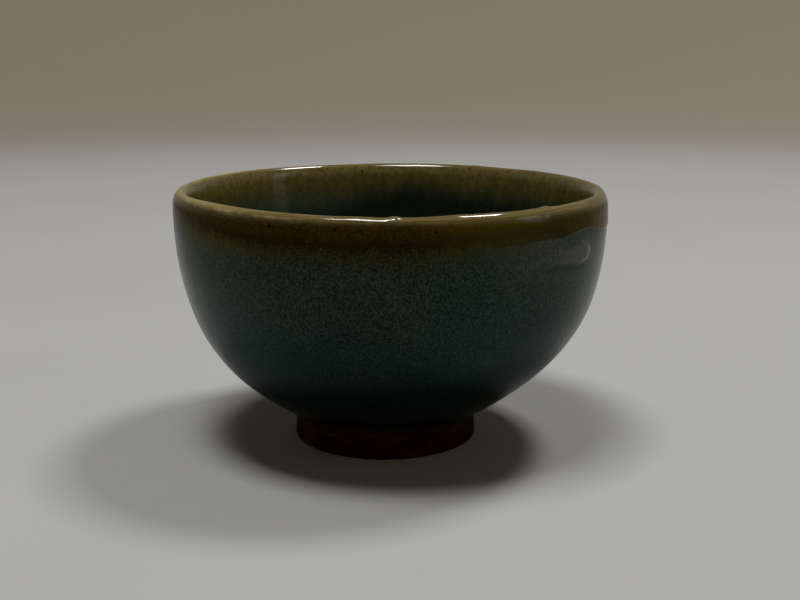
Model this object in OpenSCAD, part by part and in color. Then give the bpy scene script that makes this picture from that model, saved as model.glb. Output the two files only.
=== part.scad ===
// Guinomi sake cup: a small thrown stoneware bowl, fixed to a bare foot ring with slip,
// under a glaze that lines it, a glaze outside and a rim glaze over the lip.
// The origin is at the middle of the face that the cup stands on, with +Z up, in millimetres.

/* [Bowl] */
// Height of the cup, from the face it stands on to the top of the lip
cup_h = 40.5; // [36:0.5:50]
// Diameter of the cup at the rim, over the glaze
rim_d = 68; // [60:0.5:80]
// Thickness of the clay wall at the lip
wall_t = 1.8; // [1.4:0.1:3]
// Height over which the clay is rounded at the lip
lip_h = 1.9; // [1:0.1:3]
// Thickness of the clay floor in the middle of the bowl
floor_t = 3.4; // [2.6:0.1:5]
// Height of the upright heel, from the joint of the foot to the start of the belly
heel_h = 1.4; // [1:0.1:2.4]

/* [Foot] */
// Diameter of the foot ring where it stands
foot_d = 29.4; // [25:0.2:34]
// How far the foot ring's wall spreads outwards between its joint and the table
foot_flare = 0.2; // [0:0.1:1]
// Height of the foot ring, up to its joint
foot_h = 3; // [2:0.1:6]
// Thickness of the foot ring's wall
foot_wall_t = 4.2; // [3:0.1:6]
// Rounding of the two edges that the foot ring stands on
foot_edge_r = 0.6; // [0.2:0.1:1]
// Thickness of the slip in the joint
slip_t = 0.4; // [0.2:0.1:0.8]

/* [Glaze] */
// Thickness of each coat of glaze
glaze_t = 0.45; // [0.3:0.05:0.8]
// Height of the bare clay between the heel and the lower edge of the outer glaze
bare_h = 0.4; // [0.2:0.1:2]
// Depth of the rim glaze on the outside, from the top of the lip
rim_band_h = 4.5; // [3.5:0.5:12]
// Depth of the rim glaze on the inside, from the top of the lip
rim_lining_h = 5; // [3.5:0.5:12]

/* [Hidden] */

// Facets around the cup, along a whole curve of the wall, over the lip and around a rounded edge
$fn = 96;
curve_steps = 48;
lip_steps = 16;
edge_steps = 5;

// Halvings that find the place on a curve at a wanted height
search_steps = 40;

// Steering points of the wall's two curves, as shares of the way out and of the way up
belly_shares = [[0, 0], [0.71, 0.24], [1, 0.47], [1, 1]];
inside_shares = [[0, 0], [0.65, 0], [0.91, 0.37], [1, 1]];

foot_r = foot_d / 2;
joint_r = foot_r - foot_flare;
seat_z = foot_h + slip_t;
heel_z = seat_z + heel_h;
floor_z = seat_z + floor_t;

lip_r = wall_t / 2;
lip_z = cup_h - glaze_t - lip_h;
belly_r = rim_d / 2 - glaze_t;
inside_r = belly_r - wall_t;
lip_mid_r = inside_r + lip_r;

// Sum of the steering points' shares, on one axis, under the given weights
function steered(shares, axis, weights) = weights * [for (point = shares) point[axis]];

// Point at t on a curve that runs between two corners, t going from 0 to 1
function curve_point(from, to, shares, t) =
    let (
        s = 1 - t,
        weights = [s * s * s, 3 * s * s * t, 3 * s * t * t, t * t * t]
    )
    [for (axis = [0, 1]) from[axis] + (to[axis] - from[axis]) * steered(shares, axis, weights)];

// Way that the same curve heads at t, with length 1
function curve_heading(from, to, shares, t) =
    let (
        s = 1 - t,
        weights = [-s * s, s * s - 2 * s * t, 2 * s * t - t * t, t * t],
        way = [for (axis = [0, 1]) (to[axis] - from[axis]) * steered(shares, axis, weights)]
    )
    way / norm(way);

// Outside of the clay at t, from the heel to the lip, with a coat of the given thickness on it
belly = function (t, coat)
    let (
        from = [joint_r, heel_z],
        to = [belly_r, lip_z],
        way = curve_heading(from, to, belly_shares, t)
    )
    curve_point(from, to, belly_shares, t) + coat * [way[1], -way[0]];

// Inside of the clay at t, from the middle of the floor to the lip, with a coat on it
inside = function (t, coat)
    let (
        from = [0, floor_z],
        to = [inside_r, lip_z],
        way = curve_heading(from, to, inside_shares, t)
    )
    curve_point(from, to, inside_shares, t) + coat * [-way[1], way[0]];

// Place on a curve where its bare clay reaches the height z
function place_at(curve, z, low = 0, high = 1, halvings = search_steps) =
    let (middle = (low + high) / 2)
    halvings == 0 ? middle
    : curve(middle, 0)[1] < z ? place_at(curve, z, middle, high, halvings - 1)
    : place_at(curve, z, low, middle, halvings - 1);

glaze_line = place_at(belly, heel_z + bare_h);
outer_lap = place_at(belly, cup_h - rim_band_h);
inner_lap = place_at(inside, cup_h - rim_lining_h);

// Points along a curve from one place to another, both ends included
function run(curve, start, stop, coat) =
    let (steps = ceil(curve_steps * abs(stop - start)))
    [for (i = [0 : steps]) curve(start + (stop - start) * i / steps, coat)];

// Points over the lip from outside to inside, without the two ends
function lip(coat) =
    [for (i = [1 : lip_steps - 1])
        let (turn = 180 * i / lip_steps)
        [lip_mid_r + (lip_r + coat) * cos(turn), lip_z + (lip_h + coat) * sin(turn)]];

// Points of a quarter round about a middle, starting at the given angle
function quarter_round(middle, start) =
    [for (i = [0 : edge_steps])
        let (turn = start + 90 * i / edge_steps)
        middle + foot_edge_r * [cos(turn), sin(turn)]];

// The same points the other way round
function reversed(points) = [for (i = [len(points) - 1 : -1 : 0]) points[i]];

// The points without the last one, which the next run repeats
function without_last(points) = [for (i = [0 : len(points) - 2]) points[i]];

// Round piece with the given outline to the right of the cup's axis
module turned(outline) {
    rotate_extrude()
        polygon(outline);
}

// Thrown wall of the cup, from the flat base over the heel, belly and lip to the floor inside
module clay_bowl() {
    outside = concat(
        without_last(run(belly, 0, glaze_line, 0)),
        without_last(run(belly, glaze_line, outer_lap, 0)),
        run(belly, outer_lap, 1, 0)
    );
    hollow = concat(
        without_last(run(inside, 1, inner_lap, 0)),
        run(inside, inner_lap, 0, 0)
    );
    color("#8a5f42")
        turned(concat([[0, seat_z], [joint_r, seat_z]], outside, lip(0), hollow));
}

// Bare ring that the cup stands on, rounded at its two lower edges
module foot_ring() {
    well_edge = quarter_round([foot_r - foot_wall_t + foot_edge_r, foot_edge_r], 180);
    outer_edge = quarter_round([foot_r - foot_edge_r, foot_edge_r], 270);
    top = [[joint_r, foot_h], [joint_r - foot_wall_t, foot_h]];
    color("#7a4a2c")
        turned(concat(well_edge, outer_edge, top));
}

// Layer of slip between the top of the foot ring and the base of the bowl
module foot_slip() {
    color("#94684a")
        translate([0, 0, foot_h])
            turned([
                [joint_r - foot_wall_t, 0],
                [joint_r, 0],
                [joint_r, slip_t],
                [joint_r - foot_wall_t, slip_t]
            ]);
}

// Coat that lines the bowl, from the middle of its floor up to the rim glaze
module inner_glaze() {
    color("#4d5743")
        turned(concat(
            run(inside, 0, inner_lap, 0),
            run(inside, inner_lap, 0, glaze_t)
        ));
}

// Coat on the belly, from the glaze line above the heel up to the rim glaze
module outer_glaze() {
    color("#63807a")
        turned(concat(
            run(belly, glaze_line, outer_lap, glaze_t),
            run(belly, outer_lap, glaze_line, 0)
        ));
}

// Coat over the lip, which meets the outer and the inner glaze at its two edges
module rim_glaze() {
    face = concat(run(belly, outer_lap, 1, glaze_t), lip(glaze_t), run(inside, 1, inner_lap, glaze_t));
    back = concat(run(belly, outer_lap, 1, 0), lip(0), run(inside, 1, inner_lap, 0));
    color("#70491d")
        turned(concat(face, reversed(back)));
}

clay_bowl();
foot_ring();
foot_slip();
inner_glaze();
outer_glaze();
rim_glaze();
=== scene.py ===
from math import ceil, cos, hypot, pi, radians, sin

import bpy
import numpy as np
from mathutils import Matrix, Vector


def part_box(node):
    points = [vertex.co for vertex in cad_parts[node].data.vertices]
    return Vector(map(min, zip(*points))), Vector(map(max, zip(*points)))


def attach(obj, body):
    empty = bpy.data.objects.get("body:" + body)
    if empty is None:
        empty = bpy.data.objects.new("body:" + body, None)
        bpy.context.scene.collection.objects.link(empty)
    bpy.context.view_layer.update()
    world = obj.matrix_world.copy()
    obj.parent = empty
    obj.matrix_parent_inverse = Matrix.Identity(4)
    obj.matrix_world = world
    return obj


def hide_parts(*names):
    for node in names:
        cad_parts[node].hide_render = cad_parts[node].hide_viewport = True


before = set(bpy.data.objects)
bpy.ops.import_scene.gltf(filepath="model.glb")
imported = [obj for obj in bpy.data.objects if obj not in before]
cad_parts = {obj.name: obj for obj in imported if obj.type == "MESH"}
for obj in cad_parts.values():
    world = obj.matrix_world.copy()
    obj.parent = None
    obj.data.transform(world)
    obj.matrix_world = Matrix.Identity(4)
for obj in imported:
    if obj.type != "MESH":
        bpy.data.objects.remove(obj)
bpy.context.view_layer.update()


# The clay bowl
# Iron-bearing stoneware thrown on the wheel: one wall from a flat base over a low upright heel and a
# round belly to the lip. Glaze covers nearly all of it, so only the heel and the bottom stay bare.

MM = 0.001
wall_t = 1.8 * MM
lip_h = 1.9 * MM
heel_h = 1.4 * MM
bare_h = 0.4 * MM
rim_band_h = 4.5 * MM
rim_lining_h = 5 * MM

cup_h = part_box("rim_glaze")[1].z
rim_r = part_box("rim_glaze")[1].x
belly_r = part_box("clay_bowl")[1].x
joint_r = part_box("foot_slip")[1].x
seat_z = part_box("clay_bowl")[0].z
floor_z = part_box("inner_glaze")[0].z
glaze_t = rim_r - belly_r
heel_z = seat_z + heel_h
lip_r = wall_t / 2
lip_z = cup_h - glaze_t - lip_h
lip_mid_r = belly_r - lip_r

# Steering points of the wall's two curves, as shares of the way out and of the way up
belly_shares = ((0, 0), (0.71, 0.24), (1, 0.47), (1, 1))
inside_shares = ((0, 0), (0.65, 0), (0.91, 0.37), (1, 1))


def wall_curve(start, end, shares, side):
    """Gives a function of t, from 0 to 1, for a point on a coat of the wall and the way out there.
    Side is 1 where the way out lies to the right of the curve's run, and -1 where it lies to the left."""

    def steered(axis, weights):
        return (end[axis] - start[axis]) * sum(w * share[axis] for w, share in zip(weights, shares))

    def point(t, coat):
        s = 1 - t
        place = (s * s * s, 3 * s * s * t, 3 * s * t * t, t * t * t)
        slope = (-s * s, s * s - 2 * s * t, 2 * s * t - t * t, t * t)
        across, up = steered(0, slope), steered(1, slope)
        length = hypot(across, up)
        out_r, out_z = side * up / length, -side * across / length
        radius = start[0] + steered(0, place) + coat * out_r
        height = start[1] + steered(1, place) + coat * out_z
        return radius, height, out_r, out_z

    return point


belly = wall_curve((joint_r, heel_z), (belly_r, lip_z), belly_shares, side=1)
inside = wall_curve((0, floor_z), (belly_r - wall_t, lip_z), inside_shares, side=-1)
halvings = 40


def place_at(curve, height):
    """Finds t where the bare clay of a curve reaches a height, by halving the stretch that holds it."""
    low, high = 0.0, 1.0
    for _ in range(halvings):
        middle = (low + high) / 2
        if curve(middle, 0)[1] < height:
            low = middle
        else:
            high = middle
    return low


glaze_line = place_at(belly, heel_z + bare_h)
outer_lap = place_at(belly, cup_h - rim_band_h)
inner_lap = place_at(inside, cup_h - rim_lining_h)

# How much longer a curve is taken to be than the straight line between its ends
bend_room = 1.1


def along(curve, start, stop, coat, step, shown=1):
    """Points about a step apart on a curve, without the last.
    Each is its radius, its height, the two parts of its way out, and how far it shows."""
    here, there = curve(start, coat), curve(stop, coat)
    pieces = ceil(bend_room * hypot(there[0] - here[0], there[1] - here[1]) / step)
    return [(*curve(start + (stop - start) * i / pieces, coat), shown) for i in range(pieces)]


def over_lip(coat, steps, start, stop, shown=1):
    """Points over the rounded lip between two angles, without the last.
    The inner half starts as steep as the wall below it."""
    _, _, wall_out_r, wall_out_z = inside(1, 0)
    flare = wall_out_z / -wall_out_r
    across, up = lip_r + coat, lip_h + coat
    points = []
    for i in range(steps):
        turn = start + (stop - start) * i / steps
        spread = flare * up * sin(turn) * (1 - sin(turn)) if cos(turn) < 0 else 0
        out_r, out_z = cos(turn) / across, sin(turn) / up
        length = hypot(out_r, out_z)
        radius = lip_mid_r + across * cos(turn) + spread
        points.append((radius, lip_z + up * sin(turn), out_r / length, out_z / length, shown))
    return points


def straight(start, end, step, way_out, shown=1):
    """Points about a step apart on a straight line, without the last."""
    pieces = ceil(hypot(end[0] - start[0], end[1] - start[1]) / step)
    shares = [i / pieces for i in range(pieces)]
    return [(*(a + (b - a) * s for a, b in zip(start, end)), *way_out, shown) for s in shares]


class Wire:
    """One output of a node. Sums with wires and numbers add the Math nodes that work them out."""

    def __init__(self, socket):
        self.socket = socket
        self.tree = socket.id_data

    @staticmethod
    def node(tree, kind, settings, sockets, output=0):
        """Adds a node, sets its settings and then its sockets, and gives the wire of one of its outputs."""
        made = tree.nodes.new(kind)
        for name, value in settings.items():
            setattr(made, name, value)
        for name, value in sockets.items():
            if isinstance(value, Wire):
                tree.links.new(value.socket, made.inputs[name])
            else:
                made.inputs[name].default_value = value
        return Wire(made.outputs[output])

    def other(self, output):
        """The wire of another output of the same node."""
        return Wire(self.socket.node.outputs[output])

    @staticmethod
    def maths(tree, operation, *values):
        return Wire.node(tree, "ShaderNodeMath", {"operation": operation}, dict(enumerate(values)))

    def math(self, operation, *others):
        return Wire.maths(self.tree, operation, self, *others)

    def __add__(self, value):
        return self.math("ADD", value)

    def __sub__(self, value):
        return self.math("SUBTRACT", value)

    def __rsub__(self, value):
        return Wire.maths(self.tree, "SUBTRACT", value, self)

    def __mul__(self, value):
        return self.math("MULTIPLY", value)

    def __truediv__(self, value):
        return self.math("DIVIDE", value)

    def __rtruediv__(self, value):
        return Wire.maths(self.tree, "DIVIDE", value, self)

    __radd__ = __add__
    __rmul__ = __mul__

    def vector(self, operation, *others, output=0):
        """Vector maths on the wire and other vectors."""
        sockets = dict(enumerate((self, *others)))
        return Wire.node(self.tree, "ShaderNodeVectorMath", {"operation": operation}, sockets, output)

    def scaled(self, *sizes):
        """The wire's vector, with each axis multiplied by its own size."""
        return self.vector("MULTIPLY", sizes)

    def length(self):
        return self.vector("LENGTH", output="Value")

    def axis(self, name):
        """One axis of the wire's vector."""
        return Wire.node(self.tree, "ShaderNodeSeparateXYZ", {}, {0: self}, name)

    def step(self, low, high):
        """Rises smoothly from 0 to 1 as the wire goes from low to high."""
        sockets = {"Value": self, "From Min": low, "From Max": high}
        return Wire.node(self.tree, "ShaderNodeMapRange", {"interpolation_type": "SMOOTHSTEP"}, sockets)

    def swing(self, reach):
        """A noise made to go to both sides of 0, over a reach from end to end."""
        return (self - 0.5) * reach

    def blend(self, low, high):
        """Colour that goes from low to high as the wire goes from 0 to 1."""
        first, last = (end if isinstance(end, Wire) else (*end, 1) for end in (low, high))
        # A Mix node takes its two colours at sockets 6 and 7, and gives its colour at output 2
        sockets = {0: self, 6: first, 7: last}
        return Wire.node(self.tree, "ShaderNodeMix", {"data_type": "RGBA"}, sockets, output=2)

    def noise(self, scale, detail=2.0, roughness=0.5, seed=0.0, upright=1):
        """Cloudy noise at the wire's vector, around 0.5. With upright below 1 it is drawn out downwards."""
        vector = self if upright == 1 else self.scaled(1, 1, upright)
        sockets = {"Vector": vector, "W": seed, "Scale": scale, "Detail": detail, "Roughness": roughness}
        return Wire.node(self.tree, "ShaderNodeTexNoise", {"noise_dimensions": "4D"}, sockets)

    def spots(self, scale, core, edge):
        """Scattered spots, 1 within the core of each and 0 beyond its edge, both in cell sizes."""
        settings = {"voronoi_dimensions": "3D"}
        sockets = {"Vector": self, "Scale": scale}
        apart = Wire.node(self.tree, "ShaderNodeTexVoronoi", settings, sockets, "Distance")
        return 1 - apart.step(core, edge)


# Points nearer than the gap become one, and edges that turn by more than the angle stay sharp
merge_gap = MM / 1000
sharp_turn = radians(40)

# The spiral that the fingers leave: its pitch, and how much of it shows one pitch below its top
ring_pitch = 4.6 * MM
ring_return = 0.5


def turning_tree():
    """Builds the tree that turns an outline about the cup's axis and leaves the fingers' marks on it."""
    tree = bpy.data.node_groups.new("turning", "GeometryNodeTree")
    inputs = {
        "Outline": "Geometry", "Turn Steps": "Int", "Closed": "Int", "Ring Depth": "Float",
        "Ring Pitch": "Float", "Ring Top": "Float", "Ripple Depth": "Float", "Ripple Size": "Float",
        "Seed": "Float", "Finish": "Material",
    }
    for label, kind in inputs.items():
        tree.interface.new_socket(label, in_out="INPUT", socket_type="NodeSocket" + kind)
    tree.interface.new_socket("Piece", in_out="OUTPUT", socket_type="NodeSocketGeometry")
    given = tree.nodes.new("NodeGroupInput")
    outline, steps, closed, ring, pitch, top, ripple, ripple_size, seed, finish = (
        Wire(given.outputs[label]) for label in inputs
    )

    def attribute(name, kind):
        return Wire.node(tree, "GeometryNodeInputNamedAttribute", {"data_type": kind}, {"Name": name})

    # A sheet of squares, one column for each point of the outline and one row for each step of the turn,
    # which goes clockwise, so that the faces look away from the solid
    count = Wire.node(
        tree, "GeometryNodeAttributeDomainSize", {"component": "MESH"}, {"Geometry": outline}, "Point Count"
    )
    columns = count + closed
    sockets = {"Vertices X": columns, "Vertices Y": steps + 1}
    sheet = Wire.node(tree, "GeometryNodeMeshGrid", {}, sockets, "Mesh")
    across = sheet.other("UV Map").axis("X")
    turn = across.other("Y") * (-2 * pi)
    column = across * (columns - 1)
    point = column.math("ROUND").math("MODULO", count)

    def on_outline(value, kind):
        settings = {"data_type": kind, "domain": "POINT"}
        return Wire.node(
            tree, "GeometryNodeSampleIndex", settings, {"Geometry": outline, "Value": value, "Index": point}
        )

    def turned(spot):
        radius = spot.axis("X")
        sockets = {0: radius * turn.math("COSINE"), 1: radius * turn.math("SINE"), 2: radius.other("Z")}
        return Wire.node(tree, "ShaderNodeCombineXYZ", {}, sockets)

    place = turned(on_outline(Wire.node(tree, "GeometryNodeInputPosition", {}, {}), "FLOAT_VECTOR"))
    way_out = turned(on_outline(attribute("way_out", "FLOAT_VECTOR"), "FLOAT_VECTOR"))
    shown = on_outline(attribute("shown", "FLOAT"), "FLOAT")

    # The fingers leave a slow spiral from the middle out, fading towards its top, and the hands a ripple,
    # both only on the faces that show
    height = place.axis("Z")
    radius = place.scaled(1, 1, 0).length()
    spiral = turn + (radius + height) / pitch * (2 * pi)
    below_top = (top - height) / pitch * ring_return
    settings = {"operation": "MINIMUM", "use_clamp": True}
    spread = Wire.node(tree, "ShaderNodeMath", settings, {0: radius / pitch, 1: below_top})
    ripples = place.noise(scale=1 / ripple_size, seed=seed)
    relief = shown * (ring * spread * spiral.math("SINE") + ripple * (ripples * 2 - 1))
    push = Wire.node(tree, "ShaderNodeVectorMath", {"operation": "SCALE"}, {0: way_out, "Scale": relief})

    geometry = Wire.node(
        tree, "GeometryNodeSetPosition", {}, {"Geometry": sheet, "Position": place.vector("ADD", push)}
    )
    for name, kind, value in (("way_out", "FLOAT_VECTOR", way_out), ("shown", "FLOAT", shown)):
        settings = {"data_type": kind, "domain": "POINT"}
        sockets = {"Geometry": geometry, "Name": name, "Value": value}
        geometry = Wire.node(tree, "GeometryNodeStoreNamedAttribute", settings, sockets)
    sockets = {"Geometry": geometry, "Distance": merge_gap}
    geometry = Wire.node(tree, "GeometryNodeMergeByDistance", {}, sockets)
    angle = Wire.node(tree, "GeometryNodeInputMeshEdgeAngle", {}, {})
    settings = {"data_type": "FLOAT", "operation": "LESS_THAN"}
    gentle = Wire.node(tree, "FunctionNodeCompare", settings, {0: angle, 1: sharp_turn})
    for domain, value in (("FACE", True), ("EDGE", gentle)):
        sockets = {"Geometry": geometry, "Shade Smooth": value}
        geometry = Wire.node(tree, "GeometryNodeSetShadeSmooth", {"domain": domain}, sockets)
    geometry = Wire.node(tree, "GeometryNodeRealizeInstances", {}, {"Geometry": geometry})
    geometry = Wire.node(tree, "GeometryNodeSetMaterial", {}, {"Geometry": geometry, "Material": finish})
    tree.links.new(geometry.socket, tree.nodes.new("NodeGroupOutput").inputs[0])
    return tree


turning = turning_tree()


def turn_piece(
    name, outline, finish, closed=True, steps=512, ring=0.0, ripple=0.0, ripple_size=9 * MM, seed=0.0
):
    """Turns an outline, which runs round its solid with the solid on the left, into a plain mesh object."""
    mesh = bpy.data.meshes.new(name)
    last = len(outline) if closed else len(outline) - 1
    edges = [(i, (i + 1) % len(outline)) for i in range(last)]
    mesh.from_pydata([(radius, 0, height) for radius, height, *_ in outline], edges, [])
    ways = [part for _, _, out_r, out_z, _ in outline for part in (out_r, 0, out_z)]
    mesh.attributes.new("way_out", "FLOAT_VECTOR", "POINT").data.foreach_set("vector", ways)
    shares = [shown for *_, shown in outline]
    mesh.attributes.new("shown", "FLOAT", "POINT").data.foreach_set("value", shares)
    piece = bpy.data.objects.new(name, mesh)
    bpy.context.scene.collection.objects.link(piece)

    modifier = piece.modifiers.new("turning", "NODES")
    modifier.node_group = turning
    values = {
        "Turn Steps": steps, "Closed": int(closed), "Ring Depth": ring, "Ring Pitch": ring_pitch,
        "Ring Top": cup_h - rim_lining_h, "Ripple Depth": ripple, "Ripple Size": ripple_size, "Seed": seed,
        "Finish": finish,
    }
    for item in turning.interface.items_tree:
        if item.in_out == "INPUT" and item.name in values:
            modifier[item.identifier] = values[item.name]
    made = bpy.data.meshes.new_from_object(piece.evaluated_get(bpy.context.evaluated_depsgraph_get()))
    piece.modifiers.clear()
    piece.data = made
    bpy.data.meshes.remove(mesh)
    made.name = name
    return piece


def eased(value, low, high):
    """Rises smoothly from 0 to 1 as the value goes from low to high."""
    share = np.clip((value - low) / (high - low), 0, 1)
    return share * share * (3 - 2 * share)


def bell(value, middle, width):
    """A bump of height 1 about a middle."""
    return np.exp(-(((value - middle) / width) ** 2))


def turned_by(x, y, degrees):
    """How far round the cup a point lies from a given angle, in degrees, between -180 and 180."""
    return (np.degrees(np.arctan2(y, x)) - degrees + 180) % 360 - 180


# The rim stands a little to one side of the foot, and it dips and swells.
# Each swell has its angle and half width in degrees, and its height.
lean = 0.9 * MM
lean_from, lean_to = 6 * MM, 24 * MM
rim_swells = ((-90, 14, -0.18 * MM), (-139, 15, 0.22 * MM), (80, 22, 0.1 * MM), (138, 22, 0.05 * MM))
swell_from = 22 * MM

# The line where the rim glaze ends rises at the front right and sinks further round, in the same terms
lap_shifts = (
    (-33, 7, 0.65 * MM), (-48, 9, 0.25 * MM), (-15, 10, -0.75 * MM),
    (-100, 22, -0.25 * MM), (150, 30, 0.6 * MM),
)
lap_reach = 2.6 * MM


def mesh_values(piece, name, width):
    """A point attribute of a piece, one row for each point."""
    values = np.empty(len(piece.data.vertices) * width)
    piece.data.attributes[name].data.foreach_get("vector" if width == 3 else "value", values)
    return values.reshape(-1, width)


def place_points(piece, points):
    piece.data.vertices.foreach_set("co", points.ravel())
    piece.data.update()


def shape_by_hand(piece):
    """Gives a turned piece the small faults of a cup made by hand, the same for every piece."""
    points = mesh_values(piece, "position", 3)
    x, y, z = points.T.copy()
    up = eased(z, swell_from, cup_h)
    for angle, width, swell in rim_swells:
        points[:, 2] += swell * up * bell(turned_by(x, y, angle), 0, width)
    window = bell(z, cup_h - rim_band_h, lap_reach)
    for angle, width, shift in lap_shifts:
        points[:, 2] += shift * window * bell(turned_by(x, y, angle), 0, width)
    points[:, 0] += lean * eased(z, lean_from, lean_to)
    place_points(piece, points)


def settle(piece, node):
    """Gives a piece the small faults of a cup made by hand, hangs it on the root body and hides the node it
    stands for.
    """
    shape_by_hand(piece)
    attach(piece, "root")
    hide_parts(node)


def new_finish(name):
    """Starts a material, and gives it with its tree and with the place on the piece in millimetres."""
    finish = bpy.data.materials.new(name)
    finish.use_nodes = True
    finish.node_tree.nodes.clear()
    place = Wire.node(finish.node_tree, "ShaderNodeTexCoord", {}, {}, "Object")
    return finish, finish.node_tree, place.scaled(1 / MM, 1 / MM, 1 / MM)


def close_finish(tree, colour, roughness, height, depth, **others):
    """Ends a material with its shader. The bump goes down by depth as height goes from 1 to 0."""
    bump = Wire.node(tree, "ShaderNodeBump", {}, {"Height": height, "Distance": depth, "Strength": 1.0})
    sockets = {"Base Color": colour, "Roughness": roughness, "Normal": bump, **others}
    shader = Wire.node(tree, "ShaderNodeBsdfPrincipled", {}, sockets)
    output = tree.nodes.new("ShaderNodeOutputMaterial")
    tree.links.new(shader.socket, output.inputs["Surface"])


# The tone of bare clay: the noise values over which each pattern goes from dark to light, and its share
clay_cloud, cloud_share = (0.35, 0.68), 0.55
clay_grain, grain_share = (0.25, 0.75), 0.3
clay_lines, lines_share = (0.3, 0.7), 0.25
dark_to_middle, middle_to_light = (0.1, 0.6), (0.55, 1.0)
sand_share, iron_share = 0.35, 0.8
iron_spot = (0.006, 0.003, 0.002)

# Its feel: the least roughness and what the grain adds, and the relief of grain, lines and sand
clay_rough, grain_rough = 0.62, 0.3
grain_relief, lines_relief, sand_relief = 0.45, 0.4, 0.25
clay_depth = 0.12 * MM


def bare_clay(name, dark, middle, light, seed):
    """Fired clay without glaze: grains, fine sand, iron spots and the lines of the turning tool."""
    finish, tree, place = new_finish(name)
    sockets = {0: place.scaled(1, 1, 0).length(), 1: place.axis("Z")}
    section = Wire.node(tree, "ShaderNodeCombineXYZ", {}, sockets)
    lines = section.noise(scale=3.2, detail=3.0, roughness=0.6, seed=seed)
    cloud = place.noise(scale=0.16, detail=3.0, roughness=0.55, seed=seed)
    grain = place.noise(scale=2.6, detail=5.0, roughness=0.7, seed=seed)
    sand = place.spots(scale=1.7, core=0.12, edge=0.26)
    iron = place.spots(scale=0.42, core=0.05, edge=0.13)
    tone = cloud.step(*clay_cloud) * cloud_share + grain.step(*clay_grain) * grain_share
    tone = tone + lines.step(*clay_lines) * lines_share
    colour = tone.step(*dark_to_middle).blend(dark, middle)
    colour = tone.step(*middle_to_light).blend(colour, light)
    colour = (sand * sand_share).blend(colour, light)
    colour = (iron * iron_share).blend(colour, iron_spot)
    relief = grain * grain_relief + lines * lines_relief + sand * sand_relief
    gloss = {"Specular IOR Level": 0.02}
    close_finish(tree, colour, clay_rough + grain * grain_rough, relief, clay_depth, **gloss)
    return finish


# Faces that lie under glaze are turned in coarse steps
covered_step = 1.2 * MM
clay_outline = (
    straight((0, seat_z), (joint_r, seat_z), step=0.5 * MM, way_out=(0, -1))
    + straight((joint_r, seat_z), (joint_r, heel_z), step=0.2 * MM, way_out=(1, 0))
    + along(belly, 0, glaze_line, coat=0, step=0.12 * MM)
    + along(belly, glaze_line, 1, coat=0, step=covered_step, shown=0)
    + over_lip(coat=0, steps=12, start=0, stop=pi, shown=0)
    + along(inside, 1, 0, coat=0, step=covered_step, shown=0)
    + [(0, floor_z, 0, 1, 0)]
)
bowl_clay = bare_clay(
    "bowl_clay", seed=3.1,
    dark=(0.006, 0.0022, 0.0012), middle=(0.02, 0.0058, 0.0024), light=(0.055, 0.018, 0.007),
)
clay_bowl = turn_piece("bowl", clay_outline, bowl_clay, closed=False, steps=480, ripple=0.05 * MM, seed=1.3)
settle(clay_bowl, "clay_bowl")


# The foot slip
# Liquid clay between the foot ring and the bowl, which holds the two together once it is fired.
# It is squeezed out a little at the joint and wiped off with a wet finger.

foot_wall_t = 4.2 * MM
slip_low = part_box("foot_slip")[0].z
slip_in_r = joint_r - foot_wall_t
joint_step = 0.6 * MM
slip_step = 0.1 * MM
slip_outline = (
    straight((slip_in_r, slip_low), (joint_r, slip_low), joint_step, way_out=(0, -1), shown=0)
    + straight((joint_r, slip_low), (joint_r, seat_z), slip_step, way_out=(1, 0))
    + straight((joint_r, seat_z), (slip_in_r, seat_z), joint_step, way_out=(0, 1), shown=0)
    + straight((slip_in_r, seat_z), (slip_in_r, slip_low), slip_step, way_out=(-1, 0))
)
joint_slip = bare_clay(
    "joint_slip", seed=5.7,
    dark=(0.0055, 0.0022, 0.0012), middle=(0.018, 0.0055, 0.0024), light=(0.05, 0.017, 0.007),
)
foot_slip = turn_piece(
    "slip", slip_outline, joint_slip, steps=480, ripple=0.05 * MM, ripple_size=3 * MM, seed=2.6
)
settle(foot_slip, "foot_slip")


# The foot ring
# A ring of the same clay, set on the base and turned true with a wire tool, left bare so that it
# doesn't stick in the kiln. The edges it stands on are rounded, and rubbed smooth after firing.

foot_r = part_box("foot_ring")[1].x
foot_in_r = foot_r - foot_wall_t
edge_r = 0.6 * MM
edge_steps = 8
stand_step = 0.3 * MM
side_step = 0.15 * MM


def quarter_round(middle, start):
    """Points of a rounded lower edge about a middle, without the last. The lowest stay flat."""
    points = []
    for i in range(edge_steps):
        turn = start + pi / 2 * i / edge_steps
        out_r, out_z = cos(turn), sin(turn)
        points.append((middle + edge_r * out_r, edge_r + edge_r * out_z, out_r, out_z, abs(out_r)))
    return points


foot_outline = (
    quarter_round(foot_in_r + edge_r, pi)
    + straight((foot_in_r + edge_r, 0), (foot_r - edge_r, 0), stand_step, way_out=(0, -1), shown=0)
    + quarter_round(foot_r - edge_r, 1.5 * pi)
    + straight((foot_r, edge_r), (joint_r, slip_low), side_step, way_out=(1, 0))
    + straight((joint_r, slip_low), (slip_in_r, slip_low), joint_step, way_out=(0, 1), shown=0)
    + straight((slip_in_r, slip_low), (foot_in_r, edge_r), side_step, way_out=(-1, 0))
)
foot_clay = bare_clay(
    "foot_clay", seed=8.2,
    dark=(0.006, 0.002, 0.001), middle=(0.024, 0.006, 0.0022), light=(0.065, 0.019, 0.0065),
)
foot_ring = turn_piece(
    "foot", foot_outline, foot_clay, steps=480, ripple=0.09 * MM, ripple_size=6 * MM, seed=4.4
)
settle(foot_ring, "foot_ring")


# The inner glaze
# Poured into the bowl and out again, so that it lines the inside up to the rim glaze. It is thin and
# olive brown under the rim, and thicker and darker where it gathered towards the bottom.

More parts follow.
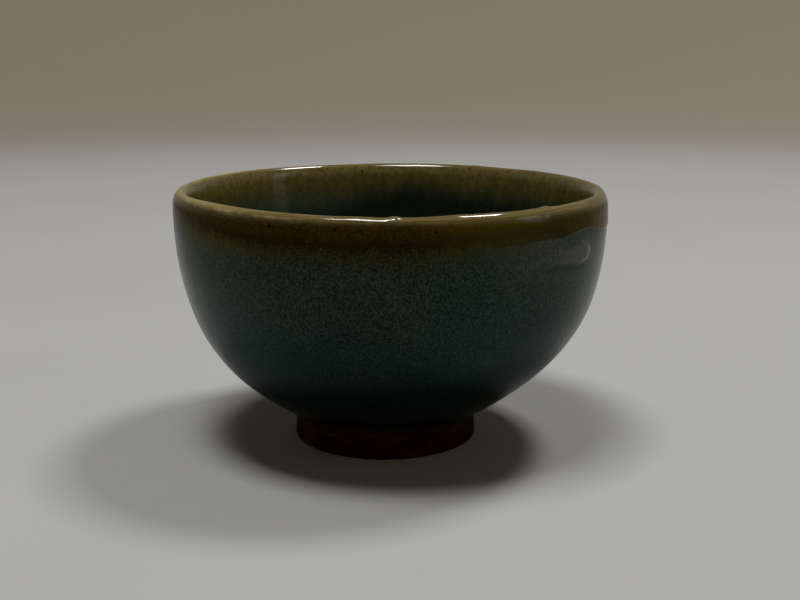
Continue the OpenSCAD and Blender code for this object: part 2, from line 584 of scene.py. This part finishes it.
inside_gold = (0.139, 0.104, 0.032)
inside_brown = (0.099, 0.075, 0.0125)
inside_olive = (0.0615, 0.0575, 0.0135)
inside_shade = (0.0225, 0.02, 0.004)
inside_green = (0.021, 0.0385, 0.0235)
inside_deep = (0.0012, 0.0066, 0.0009)
pool_dark = (0.004, 0.014, 0.01)
pool_teal = (0.02, 0.052, 0.04)

# Where each colour gives way to the next, in millimetres below the lip
gold_to_brown = (0.8, 2.6)
brown_to_olive = (2.0, 4.6)
olive_to_green = (3.4, 8)
green_to_deep = (4.4, 9.6)
deep_to_pool = (11, 25)

# How far the patterns move those places up and down, and the drift the edge of the pool, in millimetres
inner_drift, inner_streak, inner_speckle, pool_drift = 4, 3, 3, 8

# Inside, painted sheen keeps the left lighter further down, and painted shade darkens the middle and the
# right higher up: from where to where along the cup's width this sets in and eases off, and how far it
# moves the dark, in millimetres
shade_shift_in, shade_shift_out = (-14, 2), (16, 28)
sheen_shift_left, shade_shift_rise, shade_shift_drop = 1.2, 3.6, 1.4

# The noise values over which each pattern shows, and how strongly
mottle_shows, mottle_share = (0.36, 0.56), 0.42
pale_speckle, pale_share = (0.5, 0.72), 0.45
dark_speckle, dark_share = (0.28, 0.5), 0.5
pool_shows, pool_speckle, pool_cloud = (0.3, 0.7), 0.6, 0.4


def lining_colour(place):
    """Colour inside the cup, from the brown at the lip to the dark pool at the bottom."""
    speckle = place.noise(scale=2.6, detail=2.0, roughness=0.65, seed=6.0)
    streak = place.noise(scale=0.9, detail=3.0, roughness=0.6, seed=12.0, upright=0.3)
    drift = place.noise(scale=0.2, detail=4.0, roughness=0.6, seed=2.0, upright=0.4)
    mottle = place.noise(scale=1.1, detail=3.0, roughness=0.65, seed=21.0, upright=0.7)
    side = place.axis("X")
    sheen_and_shade_shift = side.step(*shade_shift_in) * shade_shift_rise - side.step(*shade_shift_out) * shade_shift_drop - sheen_shift_left
    depth = cup_h / MM - place.axis("Z")
    depth = depth + drift.swing(inner_drift) + streak.swing(inner_streak) + speckle.swing(inner_speckle)

    colour = depth.step(*gold_to_brown).blend(inside_gold, inside_brown)
    colour = depth.step(*brown_to_olive).blend(colour, inside_olive)
    colour = ((1 - mottle.step(*mottle_shows)) * mottle_share).blend(colour, inside_shade)
    colour = depth.step(*olive_to_green).blend(colour, inside_green)
    colour = (speckle.step(*pale_speckle) * pale_share).blend(colour, inside_olive)
    # Painted sheen on the left and painted shade from the middle to the right move where the dark sets in
    colour = (depth + sheen_and_shade_shift).step(*green_to_deep).blend(colour, inside_deep)
    colour = ((1 - speckle.step(*dark_speckle)) * dark_share).blend(colour, inside_deep)
    tone = speckle.step(*pool_shows) * pool_speckle + drift.step(*pool_shows) * pool_cloud
    pool = tone.blend(pool_dark, pool_teal)
    return (depth + drift.swing(pool_drift)).step(*deep_to_pool).blend(colour, pool)


dimple_share, pit_share = 0.7, 0.3


def glaze_relief(place):
    """The soft dimples of a melted glaze and its small pits, around 0.5."""
    dimples = place.noise(scale=0.55, seed=1.0)
    pits = place.noise(scale=2.2, seed=4.0)
    return dimples * dimple_share + pits * pit_share


back_step = 1.5 * MM
inner_outline = (
    along(inside, 0, inner_lap, coat=0, step=back_step, shown=0)
    + [(*inside(inner_lap, 0), 0)]
    + along(inside, inner_lap, 0, coat=glaze_t, step=0.55 * MM)
    + [(0, floor_z + glaze_t, 0, 1, 1)]
)
lining_rough, lining_rough_more = 0.12, 0.16
lining_depth = 0.13 * MM
lining_glaze, tree, place = new_finish("lining_glaze")
roughness = lining_rough + place.noise(scale=0.5, detail=3.0, seed=9.0) * lining_rough_more
gloss = {"Specular IOR Level": 0.03, "Coat Weight": 0.26, "Coat Roughness": 0.16, "Coat IOR": 1.5}
close_finish(tree, lining_colour(place), roughness, glaze_relief(place), lining_depth, **gloss)
glaze_ripple, glaze_seed = 0.07 * MM, 9.0
inner_glaze = turn_piece(
    "lining", inner_outline, lining_glaze, closed=False, ring=0.03 * MM,
    ripple=glaze_ripple, seed=glaze_seed,
)
settle(inner_glaze, "inner_glaze")


# The outer glaze
# A grey-green coat from a dip, held by the foot, so that it ends at a line above the heel. The brown of
# the rim bleeds into its upper edge, and a thick run of it froze under the rim at the front right.

rim_gold = (0.174, 0.13, 0.046)
rim_umber = (0.106, 0.077, 0.022)
# Painted highlight for the left of the lip
rim_painted_highlight = (0.43, 0.325, 0.12)
rim_brown = (0.0113, 0.006, 0.0003)
rim_amber = (0.052, 0.031, 0.0023)
band_dark = (0.011, 0.009, 0.0011)
band_olive = (0.049, 0.048, 0.0145)
# Tan painted as sheen on the band's sides
band_sheen_tan = (0.1, 0.076, 0.011)
body_dark = (0.0034, 0.0116, 0.0081)
body_middle = (0.0168, 0.037, 0.0275)
body_pale = (0.06, 0.087, 0.0675)
deep_teal = (0.0003, 0.0052, 0.003)
body_teal = (0.0034, 0.029, 0.0215)
# Paler teal painted as light on the sides and the lower left
side_light_dark = (0.003, 0.034, 0.028)
side_light_teal = (0.0105, 0.094, 0.077)
# Painted shade near the foot
foot_painted_shade = (0.0004, 0.0015, 0.0009)
glaze_edge = (0.03, 0.017, 0.008)
iron_speck = (0.006, 0.004, 0.003)
ash_speck = (0.09, 0.085, 0.06)

# Specks of iron and of unmelted ash, each with its angle in degrees, and its height and size in millimetres
iron_specks = (
    (-102.1, 38.83, 0.3), (-118.2, 38.83, 0.26), (-79.4, 38.5, 0.2), (-86, 37.5, 0.22), (-87.2, 36.8, 0.18),
    (-150, 38.4, 0.24), (-20, 38.9, 0.2), (35, 38.2, 0.3), (110, 38.7, 0.26), (170, 37.9, 0.22),
)
ash_specks = ((-108.5, 37.04, 0.13), (-105.2, 36.17, 0.22), (-60, 37.4, 0.12), (60, 36.8, 0.22))
speck_core = 0.55
ash_share = 0.6


def coat_place(angle, height, inner=False):
    """Point on the outside of the glaze or inside its lip, in millimetres, at an angle and a height."""
    up = min(max((height * MM - lip_z) / (lip_h + glaze_t), 0), 1)
    drawn_in = (lip_r + glaze_t) * (1 - (1 - up * up) ** 0.5)
    radius = belly(place_at(belly, min(height * MM, lip_z)), glaze_t)[0] - drawn_in
    if inner:
        radius = lip_mid_r - lip_r - glaze_t + drawn_in
    return (radius * cos(radians(angle)) + lean) / MM, radius * sin(radians(angle)) / MM, height


def specks(place, spots, inner=False):
    """Mask of the given specks, 1 on them and 0 elsewhere."""
    mask = None
    for angle, height, size in spots:
        apart = place.vector("DISTANCE", coat_place(angle, height, inner), output="Value")
        speck = 1 - apart.step(size * speck_core, size)
        mask = speck if mask is None else mask.math("MAXIMUM", speck)
    return mask


def mesh_mask(tree, name):
    return Wire.node(tree, "ShaderNodeAttribute", {"attribute_name": name}, {}, "Fac")


# Gloss, over millimetres below the lip: a clear glassy layer melted out on the lip and ends there, and
# the belly shines only where it is seen from the side, more round its middle and less towards the foot
lip_gloss_ends, side_gloss_starts = (0.7, 1.8), (3.4, 7.4)
side_gloss = 0.35
belly_gains, belly_gain = (6, 13), 0.26
foot_loses, foot_loss = (13, 27), 0.42
coat_rough, belly_rough, rough_patches = 0.14, 0.06, 0.1
belly_roughens = (2, 9)
half_facing = 0.5


def coat_gloss(place):
    """Gloss outside the cup: soft on the belly and bright on the lip."""
    depth = cup_h / MM - place.axis("Z")
    sideways = Wire.node(place.tree, "ShaderNodeLayerWeight", {}, {"Blend": half_facing}, "Facing")
    patches = place.noise(scale=0.7, detail=3.0, roughness=0.6, seed=14.0)
    strength = side_gloss + depth.step(*belly_gains) * belly_gain - depth.step(*foot_loses) * foot_loss
    on_lip = 1 - depth.step(*lip_gloss_ends)
    return {
        "roughness": coat_rough + depth.step(*belly_roughens) * belly_rough + patches * rough_patches,
        "Specular IOR Level": 0.02, "Coat Roughness": 0.1, "Coat IOR": 1.5,
        "Coat Weight": on_lip + sideways * depth.step(*side_gloss_starts) * strength,
    }


# The noise values over which the grain and the grit go from dark to pale, and the share of each
fine_grain, fine_share = (0.34, 0.66), 0.85
coarse_grit, coarse_share = (0.32, 0.68), 0.15


def glaze_tone(place):
    """The tone of the glaze, from 0 where it is dark to 1 where it is pale, with its grain and its grit."""
    grain = place.noise(scale=4.8, detail=2.0, roughness=0.7, seed=13.0, upright=0.8)
    grit = place.noise(scale=1.5, detail=3.0, roughness=0.6, seed=8.0)
    return grain.step(*fine_grain) * fine_share + grit.step(*coarse_grit) * coarse_share, grain, grit


# Where each colour gives way to the next, in millimetres below the lip, and the lower edge above the heel
gold_ends = (0.3, 1.25)
brown_ends = (2.6, 4.4)
dark_ends = (3.8, 5.4)
band_ends = (4.6, 9.4)
teal_starts = (9, 27)
# foot_shade_starts: where painted shade darkens the body towards the foot
foot_shade_starts = (19, 31)
edge_ends = (0.6, 1.5)

# The sides of the cup, in millimetres from its middle: the left, the right, and the left of the lower body,
# where painted light lightens it
left_ends, right_starts, low_left_ends = (-34, -12), (2, 15), (-34, -2)

# How far the patterns and the sides move those places, in millimetres
band_drift, band_streak, band_grain, band_left, band_right = 2.2, 2.4, 3.6, 1.8, 1.1
gold_grain, gold_wear, gold_left = 0.7, 0.8, 0.5
teal_cloud, edge_grit = 16, 0.8

# Shares of the colours where they show in full
dark_half, pale_half = (0.0, 0.5), (0.5, 1.0)
pale_most, teal_most, foot_shade_most, edge_most = 0.7, 0.92, 0.9, 0.8
# Shares of painted light on the lower left, the left and the right
side_light_low, side_light_left, side_light_right = 0.82, 0.3, 0.12
# Shares of painted sheen towards the sides
sheen_tan_most, sheen_tan_left = 0.38, 0.5
olive_sheen_sides, olive_sheen_left = 0.6, 0.4
left_highlight_most = 0.7
umber_lines = (0.36, 0.62)
line_stretch = (0.12, 0.12, 4)


def body_colour(place, lap_shift):
    """Colour outside the cup, from the gold of the lip through the brown band to the teal at the foot, with
    painted light on its sides and the left of its lip and painted shade towards the foot.
    Where the coats lap with a sharp edge, lap_shift moves the fade from brown to green to that edge."""
    height = place.axis("Z")
    depth = cup_h / MM - height
    side = place.axis("X")
    left = 1 - side.step(*left_ends)
    right = side.step(*right_starts)
    low_left = 1 - side.step(*low_left_ends)
    tone, grain, grit = glaze_tone(place)
    drift = place.noise(scale=0.05, detail=2.0, roughness=0.5, seed=3.0, upright=0.3)
    streak = place.noise(scale=1.4, detail=3.0, roughness=0.6, seed=5.0, upright=0.35)
    cloud = place.noise(scale=0.1, detail=3.0, roughness=0.55, seed=11.0, upright=0.7)
    worn = place.noise(scale=0.45, detail=3.0, roughness=0.6, seed=15.0, upright=0.6)
    lines = place.scaled(*line_stretch).noise(scale=1.0, detail=2.0, roughness=0.6, seed=16.0)

    # The green body, more teal and darker towards the foot, partly its own colour and partly painted shade,
    # lightened on its sides and lower left by painted light, and brown at its lower edge
    body = tone.step(*dark_half).blend(body_dark, body_middle)
    body = (tone.step(*pale_half) * pale_most).blend(body, body_pale)
    # Painted light: the sides and the lower left go paler teal
    side_painted_light = tone.blend(side_light_dark, side_light_teal)
    teal = (low_left * side_light_low).blend(tone.blend(deep_teal, body_teal), side_painted_light)
    body = ((depth + cloud.swing(teal_cloud)).step(*teal_starts) * teal_most).blend(body, teal)
    body = (left * side_light_left + right * side_light_right).blend(body, side_painted_light)
    # Painted shade: the body goes almost black towards the foot
    body = (depth.step(*foot_shade_starts) * foot_shade_most).blend(body, foot_painted_shade)
    edge = 1 - (height - heel_z / MM + grit.swing(edge_grit)).step(*edge_ends)
    body = (edge * edge_most).blend(body, glaze_edge)

    # The gold of the lip, with fine lines round it and a painted highlight on its left, and the brown below
    # it, paler tan towards the sides as painted sheen
    # Painted sheen: the brown goes tan towards the sides
    brown = ((left * sheen_tan_left + right) * sheen_tan_most).blend(tone.blend(rim_brown, rim_amber), band_sheen_tan)
    bright = lines.step(*umber_lines).blend(rim_umber, rim_gold)
    # Painted highlight: the lip goes pale straw on the left
    bright = (left * left_highlight_most).blend(bright, rim_painted_highlight)
    gold = depth + grain.swing(gold_grain) + worn.swing(gold_wear) + left * gold_left
    gold = gold.step(*gold_ends).blend(bright, brown)

    # The brown goes through a dark line and olive into the body, paler olive and tan towards the sides as
    # painted sheen
    faded = depth + drift.swing(band_drift) + streak.swing(band_streak) + grain.swing(band_grain)
    faded = faded + left * band_left + right * band_right + mesh_mask(place.tree, "lapped") * lap_shift
    dark = tone.blend(band_dark, rim_brown)
    olive = ((left + right) * olive_sheen_sides).blend(tone.blend(band_dark, band_olive), band_olive)
    olive = (left * olive_sheen_left).blend(olive, band_sheen_tan)
    colour = (faded.step(*brown_ends) * (1 - (left + right) * olive_sheen_sides)).blend(gold, dark)
    colour = faded.step(*dark_ends).blend(colour, olive)
    colour = faded.step(*band_ends).blend(colour, body)
    colour = specks(place, iron_specks).blend(colour, iron_speck)
    return (specks(place, ash_specks) * ash_share).blend(colour, ash_speck)


# The run: a flat drop with a blunt end to the right and a tail to the left, which narrows and thins.
# Its outline is a little uneven, by waves that each have a size, a count around it and a start.
run_angle, run_z = -38, 33.2 * MM
run_right, run_left, run_half_h = 4.8 * MM, 11 * MM, 1.8 * MM
run_lift = 0.26 * MM
run_waves = ((0.05, 3, 0.6), (0.02, 7, 2))
tail_narrows, tail_thins, tail_from = 0.5, 0.8, 0.2
flat_tail, flat_more, flat_over = 0.2, 0.4, (-0.3, 0.5)
run_grey = (0.028, 0.036, 0.028)
run_pale = (0.13, 0.142, 0.118)


def run_share(x, y, z):
    """How thick the run is at a point, from 0 beside it to 1 on it."""
    across = np.radians(turned_by(x, y, run_angle)) * belly_r
    long = np.where(across > 0, across / run_right, across / run_left)
    high = (z - run_z) / (run_half_h * (1 - tail_narrows * np.clip(-long, 0, 1)))
    way = np.arctan2(high, long)
    uneven = 1 + sum(size * np.sin(count * way + start) for size, count, start in run_waves)
    flat = flat_tail + flat_more * eased(long, *flat_over)
    tail = 1 - tail_thins * eased(-long, tail_from, 1)
    return tail * (1 - eased(np.hypot(long, high) * uneven, flat, 1.0))


# Glaze gathered under the rim from one angle to another, and fades out over a soft stretch and downwards
pool_from, pool_to, pool_soft = -72, 40, 26
pool_top, pool_bottom = 33.5 * MM, 28 * MM


def pool_share(x, y, z):
    """How much the glaze under the rim's sharp edge has gathered and gone pale, fading out around it."""
    turn = turned_by(x, y, 0)
    around = eased(turn, pool_from, pool_from + pool_soft) * (1 - eased(turn, pool_to - pool_soft, pool_to))
    return around * eased(z, pool_bottom, pool_top)


# Where the coats lap with a sharp edge, from the front right round to the side
lap_from, lap_to, lap_soft = -48, 6, 9


def lapped_share(x, y):
    """How sharp the edge between the coats is at a point, from 0 to 1."""
    turn = turned_by(x, y, 0)
    return eased(turn, lap_from, lap_from + lap_soft) * (1 - eased(turn, lap_to - lap_soft, lap_to))


def give_mask(piece, name, values):
    piece.data.attributes.new(name, "FLOAT", "POINT").data.foreach_set("value", values)


def raise_glaze(piece, lift):
    """Pushes the faces of a piece that show outwards by a lift for each point."""
    push = mesh_values(piece, "way_out", 3) * mesh_values(piece, "shown", 1) * lift[:, None]
    place_points(piece, mesh_values(piece, "position", 3) + push)


run_bottom = place_at(belly, pool_bottom)
outer_outline = (
    along(belly, glaze_line, run_bottom, coat=glaze_t, step=0.5 * MM)
    + along(belly, run_bottom, outer_lap, coat=glaze_t, step=0.22 * MM)
    + [(*belly(outer_lap, glaze_t), 1)]
    + along(belly, outer_lap, glaze_line, coat=0, step=back_step, shown=0)
    + [(*belly(glaze_line, 0), 0)]
)

# How pale the pool and the run are, how milky between grains and on them, and how much painted shadow
# darkens the body just below the run
pool_pale, pool_clouds, run_pales = 0.42, 0.3, 0.45
cloudy_shows = (0.25, 0.7)
milk_least, milk_grain = 0.15, 0.7
shade_reach, shade_share = 1.1 * MM, 0.6
run_gloss = 0.04
coat_lap_shift = 4.0
coat_depth = 0.06 * MM

body_glaze, tree, place = new_finish("body_glaze")
cloudy = place.noise(scale=0.8, detail=3.0, roughness=0.6, seed=18.0).step(*cloudy_shows)
pale = mesh_mask(tree, "pooled") * (pool_pale + cloudy * pool_clouds) + mesh_mask(tree, "run") * run_pales
milky = milk_least + glaze_tone(place)[0] * milk_grain
colour = pale.blend(body_colour(place, coat_lap_shift), milky.blend(run_grey, run_pale))
# Painted shadow just below the run
colour = (mesh_mask(tree, "shaded") * shade_share).blend(colour, body_dark)
gloss = coat_gloss(place)
gloss["Coat Weight"] = gloss["Coat Weight"] + mesh_mask(tree, "run") * run_gloss
gloss["Coat Roughness"] = 0.2
close_finish(tree, colour, height=glaze_relief(place), depth=coat_depth, **gloss)

outer_glaze = turn_piece("coat", outer_outline, body_glaze, steps=600, ripple=glaze_ripple, seed=glaze_seed)
x, y, z = mesh_values(outer_glaze, "position", 3).T
thickness = run_share(x, y, z)
give_mask(outer_glaze, "pooled", pool_share(x, y, z))
give_mask(outer_glaze, "run", thickness)
give_mask(outer_glaze, "shaded", np.clip(run_share(x, y, z + shade_reach) - thickness, 0, 1))
give_mask(outer_glaze, "lapped", lapped_share(x, y))
raise_glaze(outer_glaze, run_lift * thickness)
settle(outer_glaze, "outer_glaze")


# The rim glaze
# A brown iron glaze from a dip of the lip alone. It breaks to gold on the thin lip, stands proud of the
# coat below at the front right, and froze with small bumps and a thin ridge on the lip.

rim_outline = (
    along(belly, outer_lap, 1, coat=glaze_t, step=0.15 * MM)
    + over_lip(coat=glaze_t, steps=44, start=0, stop=pi)
    + along(inside, 1, inner_lap, coat=glaze_t, step=0.25 * MM)
    + [(*inside(inner_lap, glaze_t), 1)]
    + along(inside, inner_lap, 1, coat=0, step=covered_step, shown=0)
    + over_lip(coat=0, steps=8, start=pi, stop=0, shown=0)
    + along(belly, 1, outer_lap, coat=0, step=covered_step, shown=0)
    + [(*belly(outer_lap, 0), 0)]
)
# Paler tan painted as reflection on the right of the rim band
rim_sheen_tan = (0.12, 0.096, 0.048)
# Painted highlight for the ridge on the lip
ridge_painted_highlight = (0.32, 0.26, 0.15)
lip_specks = ((99.9, 39.3, 0.28), (63.6, 40.0, 0.2), (49, 40.2, 0.2), (150, 39.5, 0.22), (-30, 39.2, 0.2))
drip_share, right_sheen_share, ridge_highlight_share = 0.25, 0.55, 0.7
inner_gloss = 0.3
rim_lap_shift = -2.4

rim_finish, tree, place = new_finish("rim_glaze")
radius = place.vector("SUBTRACT", (lean / MM, 0, 0)).scaled(1, 1, 0).length()
outward = radius.step((lip_mid_r - lip_r) / MM, lip_mid_r / MM)
colour = (mesh_mask(tree, "pooled") * drip_share).blend(body_colour(place, rim_lap_shift), rim_brown)
rim_side_sheen = glaze_tone(place)[0].blend(rim_amber, rim_sheen_tan)
# Painted reflection: paler tan on the rim band from the front right round the right side
colour = (mesh_mask(tree, "sheen_right") * right_sheen_share).blend(colour, rim_side_sheen)
# Painted highlight: the broken ridge on the lip's shoulder is painted pale
colour = (mesh_mask(tree, "ridge") * ridge_highlight_share).blend(colour, ridge_painted_highlight)
colour = outward.blend(lining_colour(place), colour)
colour = specks(place, lip_specks, inner=True).blend(colour, iron_speck)
gloss = coat_gloss(place)
gloss["Coat Weight"] = gloss["Coat Weight"] + (1 - outward) * inner_gloss
close_finish(tree, colour, height=glaze_relief(place), depth=coat_depth, **gloss)

# Bumps on the lip, each with its angle in degrees, half width and height, on the faces that look up
lip_bumps = (
    (-88.6, 0.7 * MM, 0.2 * MM), (-48.5, 0.8 * MM, 0.2 * MM), (-52, 1.6 * MM, 0.08 * MM),
    (-97, 2.4 * MM, 0.08 * MM), (-74, 2.0 * MM, 0.06 * MM), (62, 1.2 * MM, 0.08 * MM),
    (190, 1.5 * MM, 0.1 * MM),
)
looks_up = (0.1, 0.8)

# The ridge on the outer shoulder of the lip: the angles over which it rises and fades, and its breaks
ridge_rises, ridge_fades = (-140, -134), (-130, -100)
ridge_z, ridge_half_h, ridge_lift = 39.87 * MM, 0.16 * MM, 0.13 * MM
break_counts, break_start, break_over = (31, 53), 1, (-0.5, 0.6)

# The ledge that the rim glaze ends in where the coats lap with a sharp edge, lower from the side on
ledge_lift = 0.2 * MM
ledge_round = 0.35 * MM
ledge_fade = 3.0 * MM
ledge_sinks, ledge_sink = (-28, -4), 0.6


def ridge_share(x, y, z):
    """How much of the broken ridge on the outer shoulder of the lip is at each point."""
    turn = turned_by(x, y, 0)
    first, second = (np.radians(turn) * count for count in break_counts)
    broken = eased(np.sin(first) * np.sin(second + break_start), *break_over)
    stretch = eased(turn, *ridge_rises) * (1 - eased(turn, *ridge_fades))
    return (np.hypot(x, y) > lip_mid_r) * bell(z, ridge_z, ridge_half_h) * stretch * broken


def rim_lift(x, y, z, up):
    """Height of the ledge, the bumps and the ridge at each point, where up is how far its face looks up."""
    above = z - (cup_h - rim_band_h)
    outer = np.hypot(x, y) > lip_mid_r
    ledge = eased(above, 0, ledge_round) * (1 - eased(above, ledge_round, ledge_fade))
    sunk = 1 - ledge_sink * eased(turned_by(x, y, 0), *ledge_sinks)
    lift = ledge_lift * outer * lapped_share(x, y) * ledge * sunk
    for angle, width, height in lip_bumps:
        across = np.radians(turned_by(x, y, angle)) * lip_mid_r
        lift += height * bell(across, 0, width) * eased(up, *looks_up)
    return lift + ridge_lift * ridge_share(x, y, z)


# The angles over which the dark drip above the run and the painted reflection of paler tan beside it come
# and go, in degrees, and how far up from the rim glaze's edge the drip ends
drip_comes, drip_goes = (-56, -44), (-34, -29)
drip_top = (2.6 * MM, 3.9 * MM)
sheen_comes, sheen_goes = (-34, -28), (20, 60)

rim_glaze = turn_piece("rim", rim_outline, rim_finish, steps=640, ripple=glaze_ripple, seed=glaze_seed)
x, y, z = mesh_values(rim_glaze, "position", 3).T
above = z - (cup_h - rim_band_h)
turn = turned_by(x, y, 0)
drip = eased(turn, *drip_comes) * (1 - eased(turn, *drip_goes))
give_mask(rim_glaze, "pooled", drip * (1 - eased(above, *drip_top)))
give_mask(rim_glaze, "ridge", ridge_share(x, y, z))
give_mask(rim_glaze, "sheen_right", eased(turn, *sheen_comes) * (1 - eased(turn, *sheen_goes)))
give_mask(rim_glaze, "lapped", lapped_share(x, y))
raise_glaze(rim_glaze, rim_lift(x, y, z, mesh_values(rim_glaze, "way_out", 3)[:, 2]))
settle(rim_glaze, "rim_glaze")


# The stage
# A pale round floor that sweeps up into a low wall on all sides, lit by two soft lamps from above and
# a weak one from the right. Its sizes are in metres.

floor_r, sweep_r, wall_top, middle_r = 0.6, 0.35, 0.8, 0.3
sweep_points, floor_steps = 17, 96
paper_dark = (0.39, 0.388, 0.375)
paper_light = (0.43, 0.428, 0.412)
wall_tan = (0.33, 0.29, 0.225)
wall_starts = (380, 760)
paper_rough, paper_rough_more = 0.8, 0.1
paper_depth = 0.1 * MM

sweep_turns = np.linspace(pi / 2, 0, sweep_points)
sweep = [(floor_r + sweep_r * sin(a), sweep_r - sweep_r * cos(a), 0, 1, 1) for a in sweep_turns]
floor_middle = [(middle_r, 0, 0, 1, 1), (0, 0, 0, 1, 1)]
stage_outline = [(floor_r + sweep_r, wall_top, -1, 0, 1)] + sweep + floor_middle
pale_floor, tree, place = new_finish("pale_floor")
paper = place.noise(scale=0.02, detail=4.0, roughness=0.6, seed=1.0)
colour = place.length().step(*wall_starts).blend(paper.blend(paper_dark, paper_light), wall_tan)
close_finish(tree, colour, paper_rough + paper * paper_rough_more, paper, paper_depth)
floor = turn_piece("floor", stage_outline, pale_floor, closed=False, steps=floor_steps)


def lamp(name, place, aim, size, watts):
    """A soft rectangular lamp at a place, turned towards a point."""
    light = bpy.data.lights.new(name, "AREA")
    light.shape = "RECTANGLE"
    light.size, light.size_y = size
    light.energy = watts
    holder = bpy.data.objects.new(name, light)
    bpy.context.scene.collection.objects.link(holder)
    holder.location = place
    way = np.array(aim) - np.array(place)
    tilt = np.arctan2(hypot(way[0], way[1]), -way[2])
    holder.rotation_euler = (tilt, 0, np.arctan2(way[1], way[0]) - pi / 2)
    holder.visible_camera = False


rim_middle = (0, 0, 0.04)
lamp("overhead", place=(-0.125, -0.14, 0.95), aim=rim_middle, size=(0.32, 0.24), watts=5.3)
lamp("behind_right", place=(0.37, 0.24, 0.95), aim=rim_middle, size=(0.2, 0.2), watts=4.6)
lamp("side_light_right", place=(0.561, -0.127, 0.2), aim=rim_middle, size=(0.1, 0.34), watts=0.08)

scene = bpy.context.scene
scene.world = scene.world or bpy.data.worlds.new("room")
scene.world.use_nodes = True
room = scene.world.node_tree.nodes["Background"].inputs
room["Color"].default_value = (0.95, 0.97, 1, 1)
room["Strength"].default_value = 0.015
scene.view_settings.view_transform = "Standard"

looks_down = radians(12.52)
camera = bpy.data.objects.new("camera", bpy.data.cameras.new("camera"))
scene.collection.objects.link(camera)
camera.location = (2.4 * MM, -189.16 * MM, 64 * MM)
camera.rotation_euler = (pi / 2 - looks_down, 0, 0)
camera.data.lens = 54
camera.data.sensor_width = 36
camera.data.clip_start = 0.01
scene.camera = camera
